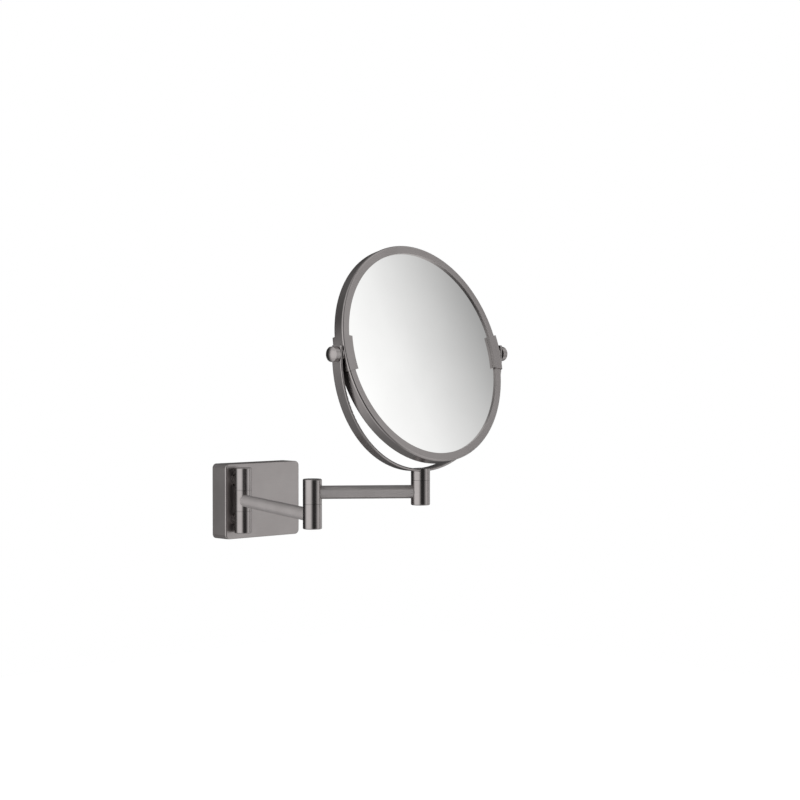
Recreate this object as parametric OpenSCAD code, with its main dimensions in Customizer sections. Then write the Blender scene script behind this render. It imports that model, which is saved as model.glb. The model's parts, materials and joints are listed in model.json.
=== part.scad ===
// Extendable wall mirror: a wall plate, two swivelling arms and a two-faced round mirror in a yoke.
// Millimetres. The wall is the plane Y = 0, the room is towards -Y and +Z is up.
// The origin is the centre of the face that lies on the wall.

/* [Wall plate] */
// Width of the cover plate
plate_w = 96; // [88:1:120]
// Height of the cover plate
plate_h = 74.4; // [70:0.2:95]
// Depth of the cover plate, from the wall to its front
plate_d = 20.8; // [20:0.2:30]
// Radius of the plate's four corners
plate_corner_r = 4.6; // [3.5:0.1:7]
// Radius of the soft edge round the plate's front
plate_edge_r = 1.4; // [0.8:0.1:2]
// Thickness of the cover's side walls
cover_wall = 2.2; // [1.8:0.1:3]
// Thickness of the cover's front
cover_front = 2.5; // [2:0.1:3.5]

/* [Wall bracket] */
// Sheet thickness of the bracket that is screwed to the wall
bracket_t = 2.5; // [2:0.1:3]
// Width of the bracket
bracket_w = 68; // [62:1:80]
// Depth of the bracket's two folded flanges
bracket_flange = 11; // [8:0.5:12]
// Distance between the two wall screw holes
screw_spacing = 50; // [40:1:54]
// Diameter of the wall screw holes
screw_hole_d = 5.5; // [4.5:0.1:6.5]

/* [Hinges] */
// Sideways place of the wall hinge, from the plate's centre
hinge_x = -35.3; // [-37:0.1:-30]
// Height of the first arm above the plate's centre
hinge_z = 1.7; // [0:0.1:3]
// Distance of the wall hinge's axis from the plate's front
hinge_standoff = 11.4; // [11:0.1:20]
// Diameter of the hinge knuckles
knuckle_d = 17.2; // [16:0.1:22]
// Height of one knuckle, without its end cap
knuckle_h = 20.6; // [18:0.1:26]
// Gap between two knuckles
seam = 0.2; // [0.2:0.05:1]
// Play at each face of the thin friction washer in that gap
washer_play = 0.05; // [0.01:0.01:0.07]
// Height of the wall hinge's end caps
wall_cap_h = 1.2; // [1:0.1:3]
// Height of the other hinges' end caps
arm_cap_h = 1.8; // [1:0.1:3]
// Radius of the soft edge on an end cap
cap_edge_r = 1.1; // [0.5:0.1:1.1]
// Diameter of the hinge pins
pin_d = 7; // [5:0.5:8]
// Wall of the plastic bush round each pin
bush_wall = 1.2; // [0.8:0.1:1.5]
// Running clearance between a pin and its bush, on the radius
run_gap = 0.05; // [0.02:0.01:0.1]

/* [Arms] */
// Diameter of the arm tubes
tube_d = 12; // [10:0.5:14]
// Wall of the arm tubes
tube_wall = 1.5; // [1:0.1:2]
// Length of the first arm, from axis to axis
first_arm_l = 196; // [160:1:240]
// Length of the second arm, from axis to axis
second_arm_l = 97.5; // [80:0.5:120]
// Diameter of the two short posts that carry the wall hinge
post_d = 11.2; // [9:0.1:12]
// Distance of each post from the first arm's height
post_offset = 19.5; // [17:0.1:24]

/* [Mirror] */
// Outer diameter of the rim
rim_d = 200; // [150:1:240]
// Width of the rim, from face to face
rim_w = 12; // [12:0.1:16]
// Thickness of the rim's outer wall
rim_wall = 1.6; // [1.2:0.1:2.5]
// Width of the flat lip round each glass
lip_w = 7.5; // [6:0.1:10]
// Thickness of the lip
lip_t = 1.8; // [1.2:0.1:2]
// Radius of the rim's outer edges
rim_edge_r = 1.8; // [0.8:0.1:2]
// Radius of the lip's edge beside the glass
lip_edge_r = 0.4; // [0.2:0.1:0.6]
// Thickness of the plain mirror
plain_t = 3; // [2:0.1:3]
// Thickness of the magnifying mirror
magnifier_t = 2; // [1.5:0.1:2]
// Depth of the magnifying glass's hollow
dish_depth = 2.6; // [1.5:0.1:3]
// Play of the glasses inside the rim, on the radius
glass_play = 0.4; // [0.2:0.1:1]

/* [Yoke] */
// Width of the yoke's flat bar
bar_w = 11.4; // [10:0.1:12]
// Thickness of the yoke's flat bar
bar_t = 2.5; // [2:0.1:4]
// Free space between the rim and the bar
yoke_gap = 3; // [2.6:0.1:6]
// Height of the stem between its seam and the bar
stem_h = 7.9; // [6:0.1:12]
// Rise of the bar's ends above the pivots
bar_end_rise = 8; // [6:0.1:12]
// Radius of the corners of the bar's ends
bar_end_r = 2; // [0.5:0.1:4]
// Flat strip that is left along each rounded edge of the bar
bar_flat = 0.3; // [0.1:0.1:1]

/* [Pivots] */
// Length of each clip along the rim
clip_l = 32.6; // [24:0.2:40]
// Sheet thickness of the clips
clip_t = 1.2; // [1:0.1:1.4]
// Reach of the clips over the glass, past the lip
clip_reach = 2.3; // [1:0.1:4]
// Diameter of the pivot screws
pivot_d = 4; // [3:0.5:5]
// Diameter of the round bosses on the clips
boss_d = 12; // [9:0.5:14]
// Radius of the round knobs
knob_r = 6.7; // [5:0.05:8]
// Length of a knob's straight side
knob_l = 5.2; // [4.5:0.1:8]
// Height of a knob's domed end
knob_dome = 2.3; // [0.5:0.1:5]
// Thickness of the washer under each knob
knob_washer_t = 0.5; // [0.3:0.1:1]

/* [Pose] */
// Direction of the first arm, seen from above, with 0 along +X
first_arm_angle = -111.2; // [-180:0.1:0]
// Direction of the second arm
second_arm_angle = -38.2; // [-180:0.1:180]
// Direction of the pivot axis from left to right
yoke_angle = 1.8; // [-180:0.1:180]
// Upward tilt of the mirror
mirror_tilt = 14.8; // [-90:0.1:90]

/* [Hidden] */
$fn = 96;

// Colours of the finishes
satin_dark = [0.52, 0.50, 0.50];
plain_steel = [0.70, 0.70, 0.72];
dark_plastic = [0.12, 0.12, 0.13];
silvered = [0.88, 0.88, 0.90];

// Cuts run this far past the face that they open
over = 1;

// Wall plate
inner_w = plate_w - 2 * cover_wall;
inner_h = plate_h - 2 * cover_wall;
inner_corner_r = plate_corner_r - cover_wall;
bracket_play = 0.4;
bracket_h = inner_h - 2 * bracket_play;
carrier_w = 16;
carrier_t = 3;
carrier_margin = 8;
carrier_h = 2 * (post_offset + carrier_margin);
grub_d = 4;
grub_x = 22;
grub_y = -6;
grub_sunk = 0.4;
grub_socket_d = 2;
grub_socket_l = 1.4;

// Hinges
knuckle_r = knuckle_d / 2;
pin_r = pin_d / 2;
bush_bore_r = pin_r + run_gap;
bush_r = bush_bore_r + bush_wall;
pitch = knuckle_h + seam;
washer_r = knuckle_r - 1.2;
washer_t = seam - 2 * washer_play;
counterbore_r = bush_r + 1.2;
counterbore_h = 6;
pocket_floor = counterbore_r + 0.7;
pin_stub = 1;
circlip_t = 0.8;
circlip_r = counterbore_r - 0.7;
groove_depth = 0.5;
circlip_gap = 4;
wall_hinge_y = -(plate_d + hinge_standoff);
second_level = hinge_z + pitch;

// Posts and their screws, which end in the back of the fixed knuckles
post_collar_d = 12.4;
post_collar_t = 0.8;
post_screw_d = 5;
post_screw_gap = 0.9;
post_screw_bite = hinge_standoff - pin_r - post_screw_gap;
post_screw_head_d = 9;
post_screw_head_t = 3;
post_socket_d = 4;
post_socket_l = 1.8;

// Places of the elbow and the neck
elbow_x = hinge_x + first_arm_l * cos(first_arm_angle);
elbow_y = wall_hinge_y + first_arm_l * sin(first_arm_angle);
neck_x = elbow_x + second_arm_l * cos(second_arm_angle);
neck_y = elbow_y + second_arm_l * sin(second_arm_angle);

// Rim and glasses
rim_r = rim_d / 2;
rim_half = rim_w / 2;
channel_r = rim_r - rim_wall;
channel_half = rim_half - lip_t;
lip_r = rim_r - lip_w;
glass_r = channel_r - glass_play;
spacer_r = lip_r - 1;
dish_edge = -channel_half;
magnifier_r = (glass_r * glass_r + dish_depth * dish_depth) / (2 * dish_depth);
dish_centre = dish_edge - sqrt(magnifier_r * magnifier_r - glass_r * glass_r);
spacer_in_r = glass_r - (glass_r - spacer_r) / 2;
spacer_foot = dish_centre + sqrt(pow(magnifier_r + magnifier_t, 2) - spacer_in_r * spacer_in_r);
dish_fn = 3600;

// Yoke
bar_in_r = rim_r + yoke_gap;
bar_out_r = bar_in_r + bar_t;
bar_edge_r = (bar_t - bar_flat) / 2;
neck_top = second_level + knuckle_h / 2;
stem_bottom = neck_top + seam;
pivot_z = stem_bottom + stem_h + bar_out_r;
bolt_d = 6;
bolt_r = bolt_d / 2;
bolt_head_r = 4.9;
bolt_head_h = 1.9;
bolt_socket_d = 4;
bolt_socket_l = 1.2;
neck_bush_bore_r = bolt_r + run_gap;
nut_af = 10;
nut_h = 5;
nut_play = 0.15;

// Clips, bosses and knobs
clip_fit = 0.05;
clip_in_r = rim_r + clip_fit;
clip_out_r = clip_in_r + clip_t;
clip_half = rim_half + clip_fit + clip_t;
clip_edge_r = lip_r - clip_reach;
clip_angle = clip_l / rim_r * 180 / PI;
clip_bend = 0.4;
clip_tip_gap = 0.1;
clip_edge = clip_t + clip_bend;
boss_gap = 0.15;
boss_face = sqrt(bar_in_r * bar_in_r - boss_d * boss_d / 4) - boss_gap;
pivot_r = pivot_d / 2;
pivot_bush_wall = 1;
pivot_bush_bore_r = pivot_r + run_gap;
pivot_bush_r = pivot_bush_bore_r + pivot_bush_wall;
pivot_tip = channel_r + 0.1;
knob_gap = 0.15;
knob_base = bar_out_r + knob_gap + knob_washer_t;
knob_washer_r = 5;
pivot_head_depth = 4;
dome_r = (knob_r * knob_r + knob_dome * knob_dome) / (2 * knob_dome);
knob_top = knob_l + knob_dome;

// Frames of the moving pieces. On an arm, +X runs along the arm and Z = 0 is its centre line.
module on_wall_hinge() translate([hinge_x, wall_hinge_y, hinge_z]) children();
module on_first_arm() on_wall_hinge() rotate([0, 0, first_arm_angle]) children();
module on_elbow_low() translate([elbow_x, elbow_y, hinge_z]) rotate([0, 0, first_arm_angle]) children();
module on_second_arm() {
    translate([elbow_x, elbow_y, second_level]) rotate([0, 0, second_arm_angle]) children();
}
module on_neck_low() translate([neck_x, neck_y, second_level]) rotate([0, 0, second_arm_angle]) children();
// On the yoke and the mirror, X runs from the left pivot to the right one, Y is up and Z faces the user.
module on_yoke() {
    translate([neck_x, neck_y, pivot_z]) rotate([0, 0, yoke_angle]) rotate([90, 0, 0]) children();
}
module on_mirror() {
    translate([neck_x, neck_y, pivot_z])
        rotate([0, 0, yoke_angle]) rotate([90 - mirror_tilt, 0, 0]) children();
}
// Both sides of a pair along X
module both_sides() {
    children();
    mirror([1, 0, 0]) children();
}

// A ring between two radii
module ring(r_out, r_in, h) {
    difference() {
        cylinder(r = r_out, h = h);
        translate([0, 0, -over]) cylinder(r = r_in, h = h + 2 * over);
    }
}

// A rectangle with round corners
module round_rect(w, h, r) {
    square([w - 2 * r, h], center = true);
    square([w, h - 2 * r], center = true);
    for (x = [-1, 1], y = [-1, 1])
        translate([x * (w / 2 - r), y * (h / 2 - r)]) circle(r);
}

// A flat slab with round corners, from Z = 0 up
module slab(w, h, t, r) linear_extrude(t) round_rect(w, h, r);

// The same slab with a soft edge of radius e round its top face
module soft_slab(w, h, t, r, e) {
    corner_x = w / 2 - r;
    corner_y = h / 2 - r;
    slab(w, h, t - e, r);
    slab(w - 2 * e, h - 2 * e, t, r - e);
    for (y = [-1, 1])
        translate([-corner_x, y * (h / 2 - e), t - e]) rotate([0, 90, 0]) cylinder(r = e, h = 2 * corner_x);
    for (x = [-1, 1])
        translate([x * (w / 2 - e), corner_y, t - e]) rotate([90, 0, 0]) cylinder(r = e, h = 2 * corner_y);
    for (x = [-1, 1], y = [-1, 1])
        translate([x * corner_x, y * corner_y, t - e]) rotate_extrude() translate([r - e, 0]) circle(e);
}

// A disc whose upper rim is rounded
module soft_disc(r, h, e) {
    rotate_extrude() union() {
        square([r - e, h]);
        square([r, h - e]);
        translate([r - e, h - e]) intersection() {
            circle(e);
            square(e);
        }
    }
}

// A knuckle round the Z axis, centred on its own height, with a bore
module knuckle(bore_r) {
    translate([0, 0, -knuckle_h / 2]) ring(knuckle_r, bore_r, knuckle_h);
}

// The blind pocket that takes the end of an arm tube, along +X
module tube_pocket() translate([pocket_floor, 0, 0]) rotate([0, 90, 0]) cylinder(d = tube_d, h = knuckle_r);

// An arm tube between two knuckles whose axes are l apart
module arm_tube(l) {
    translate([pocket_floor, 0, 0]) rotate([0, 90, 0])
        ring(tube_d / 2, tube_d / 2 - tube_wall, l - 2 * pocket_floor);
}

// The friction washer that lies in the seam above a knuckle
module seam_washer(bore_r) translate([0, 0, knuckle_h / 2 + washer_play]) ring(washer_r, bore_r, washer_t);

// ---- Pieces that stay on the wall ----

module wall_bracket() color(plain_steel) {
    difference() {
        union() {
            rotate([90, 0, 0]) slab(bracket_w, bracket_h, bracket_t, 2);
            for (z = [-1, 1])
                translate([-bracket_w / 2, -bracket_flange, z * (bracket_h - bracket_t) / 2 - bracket_t / 2])
                    cube([bracket_w, bracket_flange - bracket_t / 2, bracket_t]);
        }
        for (x = [-1, 1])
            translate([x * screw_spacing / 2, over, 0]) rotate([90, 0, 0])
                cylinder(d = screw_hole_d, h = bracket_t + 2 * over);
    }
}

module plate_cover() color(satin_dark) {
    difference() {
        rotate([90, 0, 0]) soft_slab(plate_w, plate_h, plate_d, plate_corner_r, plate_edge_r);
        translate([0, over, 0]) rotate([90, 0, 0])
            slab(inner_w, inner_h, plate_d - cover_front + over, inner_corner_r);
        for (z = [-1, 1])
            translate([hinge_x, -plate_d + cover_front + over, hinge_z + z * post_offset]) rotate([90, 0, 0])
                cylinder(d = post_screw_d, h = cover_front + 2 * over);
        translate([grub_x, grub_y, -plate_h / 2 - over]) cylinder(d = grub_d, h = cover_wall + 2 * over);
    }
}

module cover_grub_screw() color(plain_steel) {
    grub_l = cover_wall + bracket_play - grub_sunk;
    translate([grub_x, grub_y, -plate_h / 2 + grub_sunk]) difference() {
        cylinder(d = grub_d, h = grub_l);
        translate([0, 0, -over]) cylinder(d = grub_socket_d, h = grub_socket_l + over, $fn = 6);
    }
}

module carrier_plate() color(plain_steel) {
    difference() {
        translate([hinge_x - carrier_w / 2 + over, -plate_d + cover_front, hinge_z - carrier_h / 2])
            cube([carrier_w, carrier_t, carrier_h]);
        for (z = [-1, 1])
            translate([hinge_x, -plate_d + cover_front - over, hinge_z + z * post_offset])
                rotate([-90, 0, 0]) cylinder(d = post_screw_d, h = carrier_t + 2 * over);
    }
}

module post_screws() color(plain_steel) {
    shank_l = carrier_t + cover_front + post_screw_bite;
    for (z = [-1, 1])
        translate([hinge_x, -plate_d + cover_front + carrier_t, hinge_z + z * post_offset]) difference() {
            union() {
                rotate([90, 0, 0]) cylinder(d = post_screw_d, h = shank_l);
                rotate([-90, 0, 0]) soft_disc(post_screw_head_d / 2, post_screw_head_t, 1);
            }
            translate([0, post_screw_head_t - post_socket_l, 0]) rotate([-90, 0, 0])
                cylinder(d = post_socket_d, h = post_socket_l + over, $fn = 6);
        }
}

module hinge_posts() color(satin_dark) {
    for (z = [-1, 1])
        translate([hinge_x, -plate_d, hinge_z + z * post_offset]) difference() {
            rotate([90, 0, 0]) union() {
                cylinder(d = post_collar_d, h = post_collar_t);
                cylinder(d = post_d, h = hinge_standoff);
            }
            translate([0, over, 0]) rotate([90, 0, 0])
                cylinder(d = post_screw_d, h = post_screw_bite + over);
            translate([0, -hinge_standoff, -knuckle_h]) cylinder(r = knuckle_r, h = 2 * knuckle_h);
        }
}

// A fixed knuckle, above the arm (side 1) or below it (side -1): the hinge pin is pressed into it
module fixed_knuckle(side) translate([0, 0, side * pitch]) difference() {
    knuckle(pin_r);
    translate([0, knuckle_r + over, side * (post_offset - pitch)]) rotate([90, 0, 0])
        cylinder(d = post_screw_d, h = knuckle_r + over - pin_r - post_screw_gap);
}

module upper_wall_knuckle() color(satin_dark) on_wall_hinge() fixed_knuckle(1);

module lower_wall_knuckle() color(satin_dark) on_wall_hinge() fixed_knuckle(-1);

module wall_hinge_pin() color(plain_steel) on_wall_hinge() {
    pin_l = 2 * pitch + knuckle_h;
    translate([0, 0, -pin_l / 2]) cylinder(r = pin_r, h = pin_l);
}

module wall_hinge_caps() color(satin_dark) on_wall_hinge() {
    end = pitch + knuckle_h / 2;
    translate([0, 0, end]) soft_disc(knuckle_r, wall_cap_h, cap_edge_r);
    mirror([0, 0, 1]) translate([0, 0, end]) soft_disc(knuckle_r, wall_cap_h, cap_edge_r);
}

module wall_hinge_washers() color(dark_plastic) on_wall_hinge() {
    seam_washer(pin_r);
    mirror([0, 0, 1]) seam_washer(pin_r);
}

// ---- First arm ----

module shoulder_knuckle() color(satin_dark) on_first_arm() difference() {
    knuckle(bush_r);
    tube_pocket();
}

module shoulder_bush() color(dark_plastic) on_first_arm() {
    translate([0, 0, -knuckle_h / 2]) ring(bush_r, bush_bore_r, knuckle_h);
}

module first_arm_tube() color(satin_dark) on_first_arm() arm_tube(first_arm_l);

module elbow_lower_knuckle() color(satin_dark) on_elbow_low() difference() {
    knuckle(pin_r);
    rotate([0, 0, 180]) tube_pocket();
}

module elbow_lower_cap() color(satin_dark) on_elbow_low() {
    mirror([0, 0, 1]) translate([0, 0, knuckle_h / 2]) soft_disc(knuckle_r, arm_cap_h, cap_edge_r);
}

module elbow_pin() color(plain_steel) on_elbow_low() {
    shoulder = pitch + knuckle_h / 2 - counterbore_h;
    groove_z = shoulder + washer_play;
    difference() {
        translate([0, 0, -knuckle_h / 2])
            cylinder(r = pin_r, h = knuckle_h / 2 + groove_z + circlip_t + pin_stub);
        translate([0, 0, groove_z]) ring(pin_r + over, pin_r - groove_depth, circlip_t);
    }
}

module elbow_washer() color(dark_plastic) on_elbow_low() seam_washer(pin_r);

module elbow_circlip() color(plain_steel) on_elbow_low() {
    groove_z = pitch + knuckle_h / 2 - counterbore_h + washer_play;
    translate([0, 0, groove_z]) difference() {
        ring(circlip_r, pin_r - groove_depth, circlip_t);
        translate([0, -circlip_gap / 2, -over]) cube([knuckle_r, circlip_gap, circlip_t + 2 * over]);
    }
}

// ---- Second arm ----

module elbow_upper_knuckle() color(satin_dark) on_second_arm() difference() {
    knuckle(bush_r);
    translate([0, 0, knuckle_h / 2 - counterbore_h]) cylinder(r = counterbore_r, h = counterbore_h + over);
    tube_pocket();
}

module elbow_bush() color(dark_plastic) on_second_arm() {
    translate([0, 0, -knuckle_h / 2]) ring(bush_r, bush_bore_r, knuckle_h - counterbore_h);
}

module elbow_upper_cap() color(satin_dark) on_second_arm() {
    translate([0, 0, knuckle_h / 2]) soft_disc(knuckle_r, arm_cap_h, cap_edge_r);
}

module second_arm_tube() color(satin_dark) on_second_arm() arm_tube(second_arm_l);

module neck_lower_knuckle() color(satin_dark) on_neck_low() difference() {
    knuckle(bush_r);
    translate([0, 0, -knuckle_h / 2 - over]) cylinder(r = counterbore_r, h = counterbore_h + over);
    rotate([0, 0, 180]) tube_pocket();
}

module neck_bush() color(dark_plastic) on_neck_low() {
    translate([0, 0, -knuckle_h / 2 + counterbore_h])
        ring(bush_r, neck_bush_bore_r, knuckle_h - counterbore_h);
}

module neck_lower_cap() color(satin_dark) on_neck_low() {
    mirror([0, 0, 1]) translate([0, 0, knuckle_h / 2]) soft_disc(knuckle_r, arm_cap_h, cap_edge_r);
}

module neck_washer() color(dark_plastic) on_neck_low() seam_washer(neck_bush_bore_r);

// ---- Yoke ----

// The stem's top is a saddle: the bar lies in a slot, and a lip stands in front of it and behind it
module neck_stem() color(satin_dark) on_yoke() difference() {
    rotate([-90, 0, 0]) translate([0, 0, -bar_out_r - stem_h]) ring(knuckle_r, bolt_r, stem_h + 2 * bar_t);
    translate([0, 0, -knuckle_d]) cylinder(r = bar_in_r, h = 2 * knuckle_d);
    translate([0, 0, -bar_w / 2]) cylinder(r = bar_out_r, h = bar_w);
}

// The bar is a half ring, with a short straight rise and a half-round end on each side
module yoke_bar() color(satin_dark) on_yoke() difference() {
    bar_mid_r = bar_in_r + bar_t / 2;
    union() {
        rotate([0, 0, 180]) rotate_extrude(angle = 180)
            translate([bar_mid_r, 0]) round_rect(bar_t, bar_w, bar_edge_r);
        both_sides() translate([bar_mid_r, 0, 0]) intersection() {
            rotate([-90, 0, 0]) linear_extrude(bar_end_rise) round_rect(bar_t, bar_w, bar_edge_r);
            rotate([0, 90, 0]) translate([0, 0, -bar_t]) slab(bar_w, 2 * bar_end_rise, 2 * bar_t, bar_end_r);
        }
    }
    both_sides() translate([bar_in_r - over, 0, 0]) rotate([0, 90, 0])
        cylinder(r = pivot_bush_r, h = bar_t + 2 * over);
    rotate([90, 0, 0]) translate([0, 0, bar_in_r - over]) cylinder(r = bolt_r, h = bar_t + 2 * over);
    rotate([90, 0, 0]) translate([0, 0, bar_in_r]) cylinder(r1 = bolt_head_r, r2 = bolt_r, h = bolt_head_h);
    rotate([90, 0, 0]) translate([0, 0, bar_in_r - over]) cylinder(r = bolt_head_r, h = over);
}

module neck_bolt() color(plain_steel) on_yoke() rotate([90, 0, 0]) {
    nut_end = bar_out_r + stem_h + seam + knuckle_h - counterbore_h + nut_play + nut_h;
    difference() {
        union() {
            translate([0, 0, bar_in_r]) cylinder(r1 = bolt_head_r, r2 = bolt_r, h = bolt_head_h);
            translate([0, 0, bar_in_r + bolt_head_h])
                cylinder(r = bolt_r, h = nut_end - bar_in_r - bolt_head_h);
        }
        translate([0, 0, bar_in_r - over]) cylinder(d = bolt_socket_d, h = bolt_socket_l + over, $fn = 6);
    }
}

module neck_nut() color(plain_steel) on_yoke() rotate([90, 0, 0]) {
    nut_z = bar_out_r + stem_h + seam + knuckle_h - counterbore_h + nut_play;
    translate([0, 0, nut_z]) difference() {
        cylinder(d = nut_af / cos(30), h = nut_h, $fn = 6);
        translate([0, 0, -over]) cylinder(r = bolt_r, h = nut_h + 2 * over);
    }
}

module pivot_bushes() color(dark_plastic) on_yoke() {
    both_sides() translate([bar_in_r, 0, 0]) rotate([0, 90, 0]) ring(pivot_bush_r, pivot_bush_bore_r, bar_t);
}

// ---- Mirror ----

// The rim is a round channel: an outer wall with a lip over each glass
module mirror_rim() color(satin_dark) on_mirror() difference() {
    rotate_extrude($fn = 240) difference() {
        union() {
            translate([lip_r + lip_edge_r, -rim_half]) square([lip_w - lip_edge_r - rim_edge_r, rim_w]);
            translate([lip_r, -rim_half + rim_edge_r]) square([lip_w, rim_w - 2 * rim_edge_r]);
            translate([lip_r, -rim_half + lip_edge_r])
                square([lip_w - rim_edge_r, rim_w - 2 * lip_edge_r]);
            for (y = [-1, 1]) {
                translate([rim_r - rim_edge_r, y * (rim_half - rim_edge_r)]) circle(rim_edge_r);
                translate([lip_r + lip_edge_r, y * (rim_half - lip_edge_r)]) circle(lip_edge_r);
            }
        }
        translate([lip_r - over, -channel_half]) square([channel_r - lip_r + over, 2 * channel_half]);
    }
    both_sides() translate([lip_r, 0, 0]) rotate([0, 90, 0]) cylinder(r = pivot_r, h = lip_w + over);
}

module plain_mirror() color(silvered) on_mirror() {
    translate([0, 0, channel_half - plain_t]) cylinder(r = glass_r, h = plain_t, $fn = 240);
}

// The magnifying mirror is hollow on its outer face: both faces are parts of spheres with one centre
module magnifying_mirror() color(silvered) on_mirror() rotate_extrude($fn = 240) intersection() {
    translate([0, dish_centre]) difference() {
        circle(magnifier_r + magnifier_t, $fn = dish_fn);
        circle(magnifier_r, $fn = dish_fn);
    }
    translate([0, dish_edge - over]) square([glass_r, rim_w]);
}

module glass_spacer() color(dark_plastic) on_mirror() {
    spacer_h = channel_half - plain_t - spacer_foot;
    translate([0, 0, spacer_foot]) ring(glass_r, spacer_in_r, spacer_h, $fn = 240);
}

// A clip wraps round the rim: an outer wall, and over each face a flange whose tip hooks down to the glass
module clip() difference() {
    rotate([0, 0, -clip_angle / 2]) rotate_extrude(angle = clip_angle, $fn = 240) difference() {
        union() {
            translate([clip_edge_r, -clip_half])
                square([clip_out_r - clip_edge_r - clip_edge, 2 * clip_half]);
            translate([clip_edge_r, -clip_half + clip_edge])
                square([clip_out_r - clip_edge_r, 2 * (clip_half - clip_edge)]);
            for (y = [-1, 1])
                translate([clip_out_r - clip_edge, y * (clip_half - clip_edge)]) circle(clip_edge, $fn = 48);
        }
        translate([lip_r - clip_fit, -rim_half - clip_fit])
            square([clip_in_r - lip_r + clip_fit, 2 * (rim_half + clip_fit)]);
        translate([clip_edge_r - over, -channel_half - clip_tip_gap])
            square([lip_r - clip_edge_r + over, 2 * (channel_half + clip_tip_gap)]);
    }
    translate([lip_r, 0, 0]) rotate([0, 90, 0]) cylinder(r = pivot_r, h = 2 * lip_w);
}

module left_clip() color(satin_dark) on_mirror() mirror([1, 0, 0]) clip();

module right_clip() color(satin_dark) on_mirror() clip();

module pivot_bosses() color(satin_dark) on_mirror() both_sides() difference() {
    translate([clip_in_r, 0, 0]) rotate([0, 90, 0]) ring(boss_d / 2, pivot_r, boss_face - clip_in_r);
    translate([0, 0, -boss_d]) cylinder(r = clip_out_r, h = 2 * boss_d, $fn = 240);
}

module pivot_screws() color(plain_steel) on_mirror() both_sides() {
    translate([pivot_tip, 0, 0]) rotate([0, 90, 0])
        cylinder(r = pivot_r, h = knob_base + pivot_head_depth - pivot_tip);
}

module pivot_knobs() color(satin_dark) on_mirror() both_sides() {
    translate([knob_base, 0, 0]) rotate([0, 90, 0]) difference() {
        rotate_extrude() intersection() {
            square([knob_r, knob_top]);
            translate([0, knob_top - dome_r]) circle(dome_r, $fn = 240);
        }
        translate([0, 0, -over]) cylinder(r = pivot_r, h = pivot_head_depth + over);
    }
}

module knob_washers() color(dark_plastic) on_mirror() both_sides() {
    translate([bar_out_r + knob_gap, 0, 0]) rotate([0, 90, 0]) ring(knob_washer_r, pivot_r, knob_washer_t);
}

wall_bracket();
plate_cover();
cover_grub_screw();
carrier_plate();
post_screws();
hinge_posts();
upper_wall_knuckle();
lower_wall_knuckle();
wall_hinge_pin();
wall_hinge_caps();
wall_hinge_washers();
shoulder_knuckle();
shoulder_bush();
first_arm_tube();
elbow_lower_knuckle();
elbow_lower_cap();
elbow_pin();
elbow_washer();
elbow_circlip();
elbow_upper_knuckle();
elbow_bush();
elbow_upper_cap();
second_arm_tube();
neck_lower_knuckle();
neck_bush();
neck_lower_cap();
neck_washer();
neck_stem();
yoke_bar();
neck_bolt();
neck_nut();
pivot_bushes();
mirror_rim();
plain_mirror();
magnifying_mirror();
glass_spacer();
left_clip();
right_clip();
pivot_bosses();
pivot_screws();
pivot_knobs();
knob_washers();
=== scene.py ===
"""Extendable shaving mirror: finishes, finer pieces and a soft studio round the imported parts.

Metres, in the frame of the parts: the wall is the plane Y = 0, the room is towards -Y and +Z is up.
"""
import json
import math

import bpy
import numpy as np
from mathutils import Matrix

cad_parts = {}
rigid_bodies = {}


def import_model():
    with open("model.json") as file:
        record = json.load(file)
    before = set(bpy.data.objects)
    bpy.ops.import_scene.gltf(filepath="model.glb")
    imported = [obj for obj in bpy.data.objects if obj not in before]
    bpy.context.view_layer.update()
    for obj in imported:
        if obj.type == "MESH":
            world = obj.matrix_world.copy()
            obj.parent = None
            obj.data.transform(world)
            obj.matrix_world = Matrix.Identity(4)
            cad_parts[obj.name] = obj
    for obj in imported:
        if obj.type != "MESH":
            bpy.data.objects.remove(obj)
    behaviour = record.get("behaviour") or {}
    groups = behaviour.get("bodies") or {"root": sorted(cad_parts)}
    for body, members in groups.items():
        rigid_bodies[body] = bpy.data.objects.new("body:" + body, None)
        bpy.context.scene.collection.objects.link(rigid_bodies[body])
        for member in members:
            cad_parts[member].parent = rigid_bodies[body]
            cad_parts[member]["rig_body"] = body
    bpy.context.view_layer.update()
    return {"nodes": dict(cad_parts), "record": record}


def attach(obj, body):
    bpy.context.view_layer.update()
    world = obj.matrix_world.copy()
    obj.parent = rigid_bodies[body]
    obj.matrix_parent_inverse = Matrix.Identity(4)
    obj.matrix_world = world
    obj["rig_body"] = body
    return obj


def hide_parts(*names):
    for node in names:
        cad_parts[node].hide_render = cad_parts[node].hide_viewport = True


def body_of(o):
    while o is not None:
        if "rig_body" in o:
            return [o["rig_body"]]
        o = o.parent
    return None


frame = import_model()
NODES = frame["nodes"]
MM = 0.001


# ---- Small helpers ----

def linear(hex_code):
    """An sRGB hex colour, turned linear: ((c + 0.055) / 1.055) ** 2.4, or c / 12.92 where c is small."""
    c = np.array([int(hex_code[i:i + 2], 16) for i in (1, 3, 5)]) / 255
    lin = np.where(c <= 0.04045, c / 12.92, ((c + 0.055) / 1.055) ** 2.4)
    return (*[float(v) for v in lin], 1.0)


def add(tree, kind, settings=None, links=None):
    """Adds a node. A setting is the value of the input with that name or number, or else a property."""
    made = tree.nodes.new(kind)
    for key, value in (settings or {}).items():
        if isinstance(key, int) or key in made.inputs:
            made.inputs[key].default_value = value
        else:
            setattr(made, key, value)
    for key, output in (links or {}).items():
        tree.links.new(output, made.inputs[key])
    return made


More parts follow.
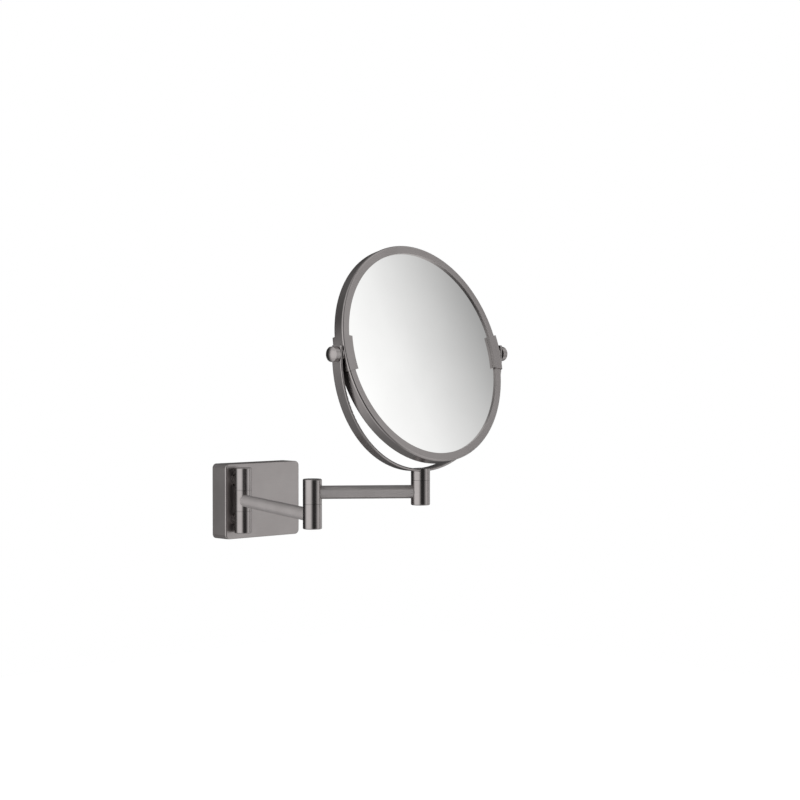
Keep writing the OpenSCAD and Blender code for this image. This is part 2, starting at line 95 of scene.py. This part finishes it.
def ramp(tree, source, stops, interpolation="LINEAR"):
    """A colour ramp through the (place, colour) stops, fed by source. A single number stands for a grey."""
    made = add(tree, "ShaderNodeValToRGB", links={"Fac": source})
    bar = made.color_ramp
    bar.interpolation = interpolation
    while len(bar.elements) < len(stops):
        bar.elements.new(0.5)
    for element, (place, colour) in zip(bar.elements, sorted(stops, key=lambda s: s[0])):
        element.position = place
        element.color = colour if isinstance(colour, tuple) else (colour, colour, colour, 1)
    return made.outputs["Color"]


def material(name):
    """An empty node material and its node tree."""
    made = bpy.data.materials.new(name)
    made.use_nodes = True
    tree = made.node_tree
    tree.nodes.clear()
    return made, tree


def finish_with(tree, shader):
    """Joins a shader to the material's output."""
    add(tree, "ShaderNodeOutputMaterial", links={"Surface": shader.outputs["BSDF"]})


# ---- Finishes ----

BRUSH_DRAW = 15


def brushed_black_chrome(name, grain=None, grain_mm=0.5, roughness=0.3, anisotropy=0.0, relief=0.03,
                         tones=("#9C9796", "#A49F9E")):
    """Brass, brushed with fine abrasive and plated with black chrome under a thin clear nickel tone.

    The plating gives a warm dark grey mirror, and the brushing blurs it across its lines. grain is the
    direction square to the brush lines, in the frame at rest; without it the finish is satin all ways.
    The real lines are 0.05 mm apart, too fine to show, so they are drawn grain_mm apart and faint.
    """
    made, tree = material(name)
    coords = add(tree, "ShaderNodeTexCoord").outputs["Object"]
    across = 1 / (grain_mm * MM)
    if grain is None:
        lines = add(tree, "ShaderNodeTexNoise", {"Scale": across, "Detail": 3.0, "Roughness": 0.6},
                    {"Vector": coords})
    else:
        along = add(tree, "ShaderNodeVectorMath", {"operation": "DOT_PRODUCT", 1: grain}, {0: coords})
        # noise that runs BRUSH_DRAW times faster along the grain is drawn out into lines square to it
        extra = add(tree, "ShaderNodeMath", {"operation": "MULTIPLY", 1: BRUSH_DRAW - 1.0},
                    {0: along.outputs["Value"]})
        stretch = add(tree, "ShaderNodeVectorMath", {"operation": "SCALE", 0: grain},
                      {"Scale": extra.outputs[0]})
        drawn = add(tree, "ShaderNodeVectorMath", {"operation": "ADD"}, {0: coords, 1: stretch.outputs[0]})
        lines = add(tree, "ShaderNodeTexNoise",
                    {"Scale": across / BRUSH_DRAW, "Detail": 3.0, "Roughness": 0.6},
                    {"Vector": drawn.outputs[0]})
    # bath-to-bath tone of the plating, and the film that wiping leaves: patches some 30 mm across
    cloud = add(tree, "ShaderNodeTexNoise", {"Scale": 33.0, "Detail": 2.0, "Roughness": 0.5},
                {"Vector": coords})
    tone = ramp(tree, cloud.outputs["Fac"], [(0.3, linear(tones[0])), (0.7, linear(tones[1]))])
    deep = ramp(tree, lines.outputs["Fac"], [(0.25, 0.93), (0.75, 1.0)])
    colour = add(tree, "ShaderNodeMix", {"data_type": "RGBA", "blend_type": "MULTIPLY", "Factor": 1.0})
    tree.links.new(tone, colour.inputs[6])
    tree.links.new(deep, colour.inputs[7])
    rough = add(tree, "ShaderNodeMapRange", {"To Min": roughness - 0.03, "To Max": roughness + 0.03},
                {"Value": cloud.outputs["Fac"]})
    bump = add(tree, "ShaderNodeBump", {"Strength": relief, "Distance": 0.05 * MM},
               {"Height": lines.outputs["Fac"]})
    metal = add(tree, "ShaderNodeBsdfPrincipled", {"Metallic": 1.0, "Anisotropic": anisotropy},
                {"Base Color": colour.outputs[2], "Roughness": rough.outputs["Result"],
                 "Normal": bump.outputs["Normal"]})
    if grain is not None and anisotropy > 0:
        turned = add(tree, "ShaderNodeVectorTransform",
                     {"vector_type": "VECTOR", "convert_from": "OBJECT", "convert_to": "WORLD",
                      "Vector": grain})
        tree.links.new(turned.outputs["Vector"], metal.inputs["Tangent"])
    finish_with(tree, metal)
    return made


def zinc_steel(name):
    """Mild steel, zinc-plated and clear-passivated: pale blue-grey, with a faint spangle 0.8 mm across."""
    made, tree = material(name)
    coords = add(tree, "ShaderNodeTexCoord").outputs["Object"]
    spangle = add(tree, "ShaderNodeTexVoronoi", {"Scale": 1 / (0.8 * MM), "Randomness": 1.0},
                  {"Vector": coords})
    tone = ramp(tree, spangle.outputs["Distance"], [(0.0, linear("#A9ABAE")), (0.9, linear("#BDBFC1"))])
    rough = add(tree, "ShaderNodeMapRange", {"To Min": 0.28, "To Max": 0.42},
                {"Value": spangle.outputs["Distance"]})
    grain = add(tree, "ShaderNodeTexNoise", {"Scale": 1 / (0.2 * MM), "Detail": 2.0}, {"Vector": coords})
    bump = add(tree, "ShaderNodeBump", {"Strength": 0.08, "Distance": 0.05 * MM},
               {"Height": grain.outputs["Fac"]})
    metal = add(tree, "ShaderNodeBsdfPrincipled", {"Metallic": 1.0},
                {"Base Color": tone, "Roughness": rough.outputs["Result"], "Normal": bump.outputs["Normal"]})
    finish_with(tree, metal)
    return made


def moulded_acetal(name):
    """Acetal, moulded in black: low-sheen plastic with a spark-eroded grain about 0.15 mm across."""
    made, tree = material(name)
    coords = add(tree, "ShaderNodeTexCoord").outputs["Object"]
    grain = add(tree, "ShaderNodeTexNoise", {"Scale": 1 / (0.15 * MM), "Detail": 3.0}, {"Vector": coords})
    tone = ramp(tree, grain.outputs["Fac"], [(0.3, linear("#151516")), (0.7, linear("#1D1D1F"))])
    bump = add(tree, "ShaderNodeBump", {"Strength": 0.15, "Distance": 0.03 * MM},
               {"Height": grain.outputs["Fac"]})
    plastic = add(tree, "ShaderNodeBsdfPrincipled", {"Roughness": 0.45, "IOR": 1.48},
                  {"Base Color": tone, "Normal": bump.outputs["Normal"]})
    finish_with(tree, plastic)
    return made


def silvered_glass(name):
    """Float glass, silvered on its back: a clean neutral mirror with the faint haze that wiping leaves."""
    made, tree = material(name)
    coords = add(tree, "ShaderNodeTexCoord").outputs["Object"]
    haze = add(tree, "ShaderNodeTexNoise", {"Scale": 25.0, "Detail": 4.0, "Roughness": 0.55},
               {"Vector": coords})
    tone = ramp(tree, haze.outputs["Fac"], [(0.3, linear("#F8F8F7")), (0.7, linear("#FBFBFA"))])
    rough = add(tree, "ShaderNodeMapRange", {"To Min": 0.012, "To Max": 0.03}, {"Value": haze.outputs["Fac"]})
    glass = add(tree, "ShaderNodeBsdfPrincipled", {"Metallic": 1.0},
                {"Base Color": tone, "Roughness": rough.outputs["Result"]})
    finish_with(tree, glass)
    return made


def arm_direction(first, second):
    """The level direction from one joint's axis to the next one's."""
    places = {j["name"]: np.array(j["pos_m"]) for j in frame["record"]["behaviour"]["joints"]}
    d = places[second] - places[first]
    d[2] = 0
    return tuple(float(v) for v in d / np.linalg.norm(d))


FIRST_ARM = arm_direction("wall_hinge", "elbow_hinge")
SECOND_ARM = arm_direction("elbow_hinge", "neck_swivel")

plate_finish = brushed_black_chrome("brushed_black_chrome_plate", grain=(0, 0, 1), roughness=0.36,
                                    tones=("#A29D9C", "#AAA5A4"))
knuckle_finish = brushed_black_chrome("brushed_black_chrome_turned", grain=(0, 0, 1), roughness=0.24,
                                      anisotropy=0.6)
# the arms are brushed round and round, and have a paler tone than the other pieces: this is painted light.
# The same plating is painted lighter on the arms so they show brighter, the second arm lightest
first_arm_painted_lighter = brushed_black_chrome("brushed_black_chrome_first_arm_painted_lighter", grain=FIRST_ARM, roughness=0.6,
                                        anisotropy=1.0, tones=("#BDB8B7", "#C5C0BF"))
second_arm_painted_lighter = brushed_black_chrome("brushed_black_chrome_second_arm_painted_lighter", grain=SECOND_ARM, roughness=0.6,
                                         anisotropy=1.0, tones=("#D1CCCB", "#D9D4D3"))
rim_finish = brushed_black_chrome("brushed_black_chrome_rim", roughness=0.28)
small_finish = brushed_black_chrome("brushed_black_chrome_small", roughness=0.25)
steel = zinc_steel("zinc_plated_steel")
acetal = moulded_acetal("moulded_acetal")
mirror_glass = silvered_glass("silvered_glass")

FINISH_OF = {
    "plate_cover": plate_finish, "hinge_posts": small_finish,
    "upper_wall_knuckle": knuckle_finish, "lower_wall_knuckle": knuckle_finish,
    "shoulder_knuckle": knuckle_finish,
    "wall_hinge_caps": small_finish, "elbow_lower_cap": small_finish, "elbow_upper_cap": small_finish,
    "neck_lower_cap": small_finish,
    "elbow_lower_knuckle": knuckle_finish, "elbow_upper_knuckle": knuckle_finish,
    "neck_lower_knuckle": knuckle_finish, "neck_stem": knuckle_finish,
    "first_arm_tube": first_arm_painted_lighter, "second_arm_tube": second_arm_painted_lighter,
    "yoke_bar": rim_finish, "mirror_rim": rim_finish, "left_clip": rim_finish, "right_clip": rim_finish,
    "pivot_bosses": small_finish, "pivot_knobs": small_finish,
    "plain_mirror": mirror_glass, "magnifying_mirror": mirror_glass,
}
BY_SLOT = {"plain_steel": steel, "dark_plastic": acetal}
SLOT_OF = {row["node"]: row["material_slot"] for row in frame["record"]["subparts"]}
for name, obj in NODES.items():
    finish = FINISH_OF.get(name) or BY_SLOT[SLOT_OF[name]]
    for k in range(len(obj.material_slots)):
        obj.material_slots[k].material = finish


# ---- Turned pieces of the mirror head ----

def vertices(obj):
    """The corners of a mesh as an array of places, in the frame at rest."""
    flat = np.empty(len(obj.data.vertices) * 3)
    obj.data.vertices.foreach_get("co", flat)
    return flat.reshape(-1, 3)


def spokes(axis, steps):
    """Directions square to an axis, all the way round: cos(a) * side + sin(a) * up, a in equal steps."""
    side = np.cross(axis, (0.0, 0.0, 1.0))
    side /= np.linalg.norm(side)
    up = np.cross(axis, side)
    turn = np.linspace(0, 2 * math.pi, steps, endpoint=False)[:, None]
    return np.cos(turn) * side + np.sin(turn) * up


def turned(profile, centre, axis, steps):
    """One row of points for each (radius, height) of a profile: centre + height * axis + radius * spoke."""
    rows = np.array(profile)
    return centre + rows[:, 1, None, None] * axis + rows[:, 0, None, None] * spokes(axis, steps)


def smooth_piece(name, points, faces, finish, node):
    """A mesh with soft shading and crisp corners that stands for a node and rides on its body."""
    mesh = bpy.data.meshes.new(name)
    mesh.from_pydata(points.tolist(), [], faces)
    mesh.polygons.foreach_set("use_smooth", np.ones(len(mesh.polygons), bool))
    mesh.set_sharp_from_angle(angle=math.radians(30))
    mesh.update()
    mesh.materials.append(finish)
    made = bpy.data.objects.new(name, mesh)
    bpy.context.scene.collection.objects.link(made)
    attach(made, body_of(NODES[node])[0])
    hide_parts(node)


def turned_solid(profile, centre, axis, steps):
    """A profile from one pole to the other, turned round an axis: a fan of triangles at each pole, and
    four-sided faces between neighbouring rows. Returns the points and the faces."""
    inner = turned(profile[1:-1], centre, axis, steps)
    points = np.vstack([centre + profile[0][1] * axis, inner.reshape(-1, 3), centre + profile[-1][1] * axis])
    here = np.arange(steps)
    onward = (here + 1) % steps
    row = 1 + np.arange(len(inner) - 1)[:, None] * steps
    quads = np.stack([row + here, row + steps + here, row + steps + onward, row + onward], axis=-1)
    tail = 1 + (len(inner) - 1) * steps
    near = np.stack([np.zeros(steps, int), 1 + here, 1 + onward], axis=-1)
    far = np.stack([np.full(steps, len(points) - 1), tail + onward, tail + here], axis=-1)
    return points, near.tolist() + quads.reshape(-1, 4).tolist() + far.tolist()


def turned_ring(profile, centre, axis, steps):
    """A closed profile, anticlockwise with the radius to the right and the height up, turned round an axis.
    Returns the points and the faces."""
    points = turned(profile, centre, axis, steps)
    here = np.arange(steps)
    onward = (here + 1) % steps
    row = np.arange(len(profile))[:, None] * steps
    after = (row + steps) % (len(profile) * steps)
    quads = np.stack([row + here, row + onward, after + onward, after + here], axis=-1)
    return points.reshape(-1, 3), quads.reshape(-1, 4).tolist()


def mirror_axis():
    """The middle of the plain mirror and the direction its back looks in, from the glass's own corners."""
    glass = vertices(NODES["plain_mirror"])
    middle = (glass.min(0) + glass.max(0)) / 2
    axis = np.linalg.svd(glass - middle, full_matrices=False)[2][2]
    behind = vertices(NODES["magnifying_mirror"]).mean(0) - middle
    return middle, axis * np.sign(behind @ axis)


def round_sizes(node, middle, axis):
    """The height along the axis and the distance from it of every corner of a node."""
    off = vertices(NODES[node]) - middle
    height = off @ axis
    return height, np.linalg.norm(off - height[:, None] * axis, axis=1)


def hollow_glass(middle, axis):
    """The magnifying mirror: two parts of spheres with one centre, and an edge with its arrises taken off."""
    height, radius = round_sizes("magnifying_mirror", middle, axis)
    edge = radius.max()
    outside = height[radius > edge - 0.1 * MM]
    thick = outside.max() - outside.min()
    depth = height.max() - height.min() - thick
    sphere = (edge ** 2 + depth ** 2) / (2 * depth)
    arris = 0.3 * MM
    across = np.linspace(0, edge - arris, 40)
    hollow = height.max() - depth + sphere - np.sqrt(sphere ** 2 - across ** 2)
    back = hollow - thick
    ring = [(edge, hollow[-1] - arris), (edge, back[-1] + arris)]
    profile = list(zip(across, hollow)) + ring + list(zip(across[::-1], back[::-1]))
    smooth_piece("hollow_magnifying_glass", *turned_solid(profile, middle, axis, 192), mirror_glass,
                 "magnifying_mirror")


def channel_rim(middle, axis):
    """The rim: a round channel with a lip over each glass, its outer corners and its lips' edges rounded.

    Half the profile goes up the outer wall, over the upper lip and back inside to the middle. The other half
    is the same upside down, in the opposite order.
    """
    height, radius = round_sizes("mirror_rim", middle, axis)
    level = (height.max() + height.min()) / 2
    half = (height.max() - height.min()) / 2
    outer, inner = radius.max(), radius.min()
    wall, lip, corner, edge = 1.6 * MM, 1.8 * MM, 1.8 * MM, 0.4 * MM
    # a row close to each rounding keeps its soft shading off the flats
    close = 0.15 * MM
    quarter = np.linspace(0, math.pi / 2, 13)
    upper = np.array([(outer, half - corner - close)]
                     + [(outer - corner + corner * math.cos(a), half - corner + corner * math.sin(a))
                        for a in quarter]
                     + [(outer - corner - close, half), (inner + edge + close, half)]
                     + [(inner + edge - edge * math.sin(a), half - edge + edge * math.cos(a))
                        for a in quarter]
                     + [(inner, half - edge - close), (inner, half - lip), (outer - wall, half - lip)])
    profile = np.vstack([upper, upper[::-1] * (1, -1)])
    smooth_piece("channel_rim", *turned_ring(profile, middle + level * axis, axis, 288), rim_finish,
                 "mirror_rim")


MIDDLE, BACKWARD = mirror_axis()
hollow_glass(MIDDLE, BACKWARD)
channel_rim(MIDDLE, BACKWARD)


# ---- Camera ----

# The camera stands in front of the wall, level with the mirror and to its left.
AZIMUTH = math.radians(-44.08)
ELEVATION = math.radians(1.43)
camera_data = bpy.data.cameras.new("studio_camera")
camera_data.lens = 90.0
camera_data.sensor_width = 36.0
camera_data.clip_start = 0.05
camera = bpy.data.objects.new("studio_camera", camera_data)
bpy.context.scene.collection.objects.link(camera)
camera.location = (-1.2951, -1.5556, 0.1500)
camera.rotation_euler = (math.pi / 2 - ELEVATION, 0, AZIMUTH)
bpy.context.scene.camera = camera
bpy.context.scene.view_settings.view_transform = "Standard"


# ---- Studio ----

def studio():
    """Plain soft studio: a long panel of light on the left, one on the right and one behind that, in a dim
    room, and above and below the object a panel on each side.

    Directions are degrees anticlockwise seen from above, from the line between the object and the camera.
    """
    world = bpy.data.worlds.new("soft_studio")
    bpy.context.scene.world = world
    world.use_nodes = True
    tree = world.node_tree
    tree.nodes.clear()
    direction = add(tree, "ShaderNodeTexCoord").outputs["Generated"]
    facing = add(tree, "ShaderNodeMapping",
                 {"vector_type": "VECTOR", "Rotation": (0, 0, math.pi / 2 - AZIMUTH)}, {"Vector": direction})
    compass = add(tree, "ShaderNodeTexGradient", {"gradient_type": "RADIAL"}, {"Vector": facing.outputs[0]})

    def ring(room, panels):
        """Panels of light round the room. A panel is where it begins, where it is full, where it is still
        full, where it has ended, and its brightness. The gradient runs from 0 to 1 round the room, and a ramp
        holds half the brightness, since its colours end at 1."""
        stops = [(-180, room), (180, room)]
        for begins, full, still, ended, brightness in panels:
            stops += [(begins, room), (full, brightness), (still, brightness), (ended, room)]
        return ramp(tree, compass.outputs["Fac"], [((a + 180) / 360, v / 2) for a, v in stops], "EASE")

    level = ring(0.05, [(-105, -65, -25, 10, 1.4), (40, 80, 94, 101, 1.05), (102, 107, 140, 175, 0.8)])
    high_and_low = ring(0.3, [(-110, -80, -30, 20, 1.0), (45, 75, 110, 170, 0.9)])
    height = add(tree, "ShaderNodeSeparateXYZ", links={0: direction}).outputs["Z"]
    steepness = add(tree, "ShaderNodeMath", {"operation": "ABSOLUTE"}, {0: height}).outputs[0]
    share = add(tree, "ShaderNodeMapRange", {"From Min": 0.4, "From Max": 0.6}, {"Value": steepness})
    both = add(tree, "ShaderNodeMix", {"data_type": "RGBA"}, {"Factor": share.outputs["Result"]})
    tree.links.new(level, both.inputs[6])
    tree.links.new(high_and_low, both.inputs[7])
    lit = add(tree, "ShaderNodeBackground", {"Strength": 2.0}, {"Color": both.outputs[2]})
    # the paper backdrop is seen plain white, and lights nothing
    paper = add(tree, "ShaderNodeBackground", {"Color": (1, 1, 1, 1), "Strength": 1.0})
    seen = add(tree, "ShaderNodeLightPath").outputs["Is Camera Ray"]
    shown = add(tree, "ShaderNodeMixShader", links={0: seen, 1: lit.outputs[0], 2: paper.outputs[0]})
    add(tree, "ShaderNodeOutputWorld", links={"Surface": shown.outputs[0]})


def floor():
    """A pale lit floor 1.3 m below the mirror, the height at which such a mirror hangs."""
    half = 6.0
    level = -1.3
    mesh = bpy.data.meshes.new("studio_floor")
    corners = np.array([[-1, -1], [1, -1], [1, 1], [-1, 1]]) * half
    mesh.from_pydata([(x, y, level) for x, y in corners], [], [(0, 1, 2, 3)])
    made = bpy.data.objects.new("studio_floor", mesh)
    bpy.context.scene.collection.objects.link(made)
    paint, tree = material("lit_white_floor")
    shader = add(tree, "ShaderNodeBsdfPrincipled", {"Base Color": (0.85, 0.85, 0.85, 1), "Roughness": 0.9,
                                                    "Emission Color": (1, 1, 1, 1), "Emission Strength": 0.6})
    finish_with(tree, shader)
    mesh.materials.append(paint)
    made.visible_glossy = False


studio()
floor()
